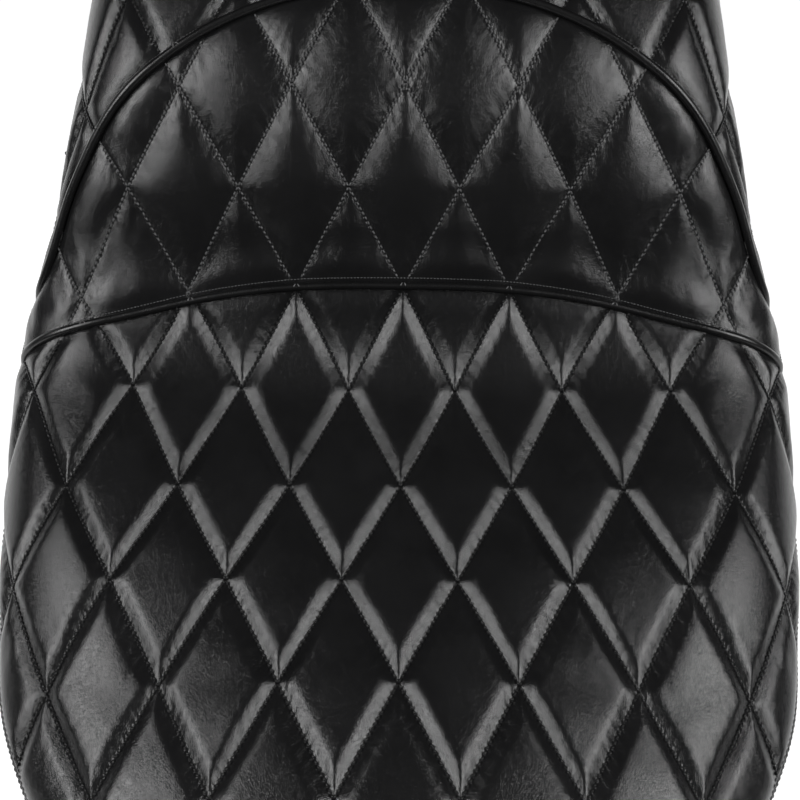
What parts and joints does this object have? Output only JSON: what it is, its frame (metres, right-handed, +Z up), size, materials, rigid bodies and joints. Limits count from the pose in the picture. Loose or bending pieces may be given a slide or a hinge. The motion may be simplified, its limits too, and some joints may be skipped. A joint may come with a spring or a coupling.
{
  "type": "motorcycle seat",
  "caption": "Two-up step motorcycle seat with diamond-quilted top, raised passenger section, moulded pan, mounting tongue, rear tab with captive thumb screw and rubber rail bumpers.",
  "frame": {"origin": "centre of the footprint on the plane the rail bumpers stand on", "axes": "+Y along the seat from the handlebar end to the rear tab, +Z up, +X to the side"},
  "size_m": [0.4126, 0.816, 0.2236],
  "materials": {
    "vinyl": "semi-gloss grained vinyl",
    "piping": "semi-gloss",
    "cord": "braided",
    "quilt_foam": "scrim-backed foam",
    "seat_foam": "moulded polyurethane foam, matt",
    "pan": "moulded, fine texture",
    "bracket": "black powder coat",
    "rivet": "plain",
    "washer": "zinc plated",
    "screw": "polished",
    "nylon": "natural nylon",
    "bumper": "moulded rubber",
    "grommet": "moulded",
    "staple": "galvanised wire"
  },
  "bodies": {
    "seat": {"rider_top_panel": "vinyl", "riser_panel": "vinyl", "pillion_top_panel": "vinyl", "side_panel_left": "vinyl", "side_panel_right": "vinyl", "nose_panel": "vinyl", "rear_panel": "vinyl", "riser_base_welt": "piping", "riser_arch_welt": "piping", "riser_base_welt_cord": "cord", "riser_arch_welt_cord": "cord", "rider_quilt_pad": "quilt_foam", "riser_quilt_pad": "quilt_foam", "pillion_quilt_pad": "quilt_foam", "seat_foam": "seat_foam", "base_pan": "pan", "vent_grommets": "grommet", "front_tongue_bracket": "bracket", "rear_tab_bracket": "bracket", "front_bracket_rivets": "rivet", "rear_bracket_rivets": "rivet", "rivet_washers": "washer", "tab_cushion": "bumper", "rail_bumpers": "bumper", "fender_bumpers": "bumper", "cover_staples": "staple"},
    "screw_carrier": {"screw_retaining_washer": "nylon"},
    "screw": {"mount_screw": "screw"}
  },
  "joints": [
    {"name": "screw_turn", "type": "hinge", "parent": "screw_carrier", "child": "screw", "pos_m": [0, 0.392, 0.07], "axis": [0, 0, 1], "range_deg": [0, 1440]},
    {"name": "screw_lift", "type": "slide", "parent": "seat", "child": "screw_carrier", "axis": [0, 0, 1], "range_m": [0, 0.0056]}
  ],
  "couplings": [
    {"joint": "screw_lift", "follows": "screw_turn", "m_per_rad": 0.00020213}
  ]
}
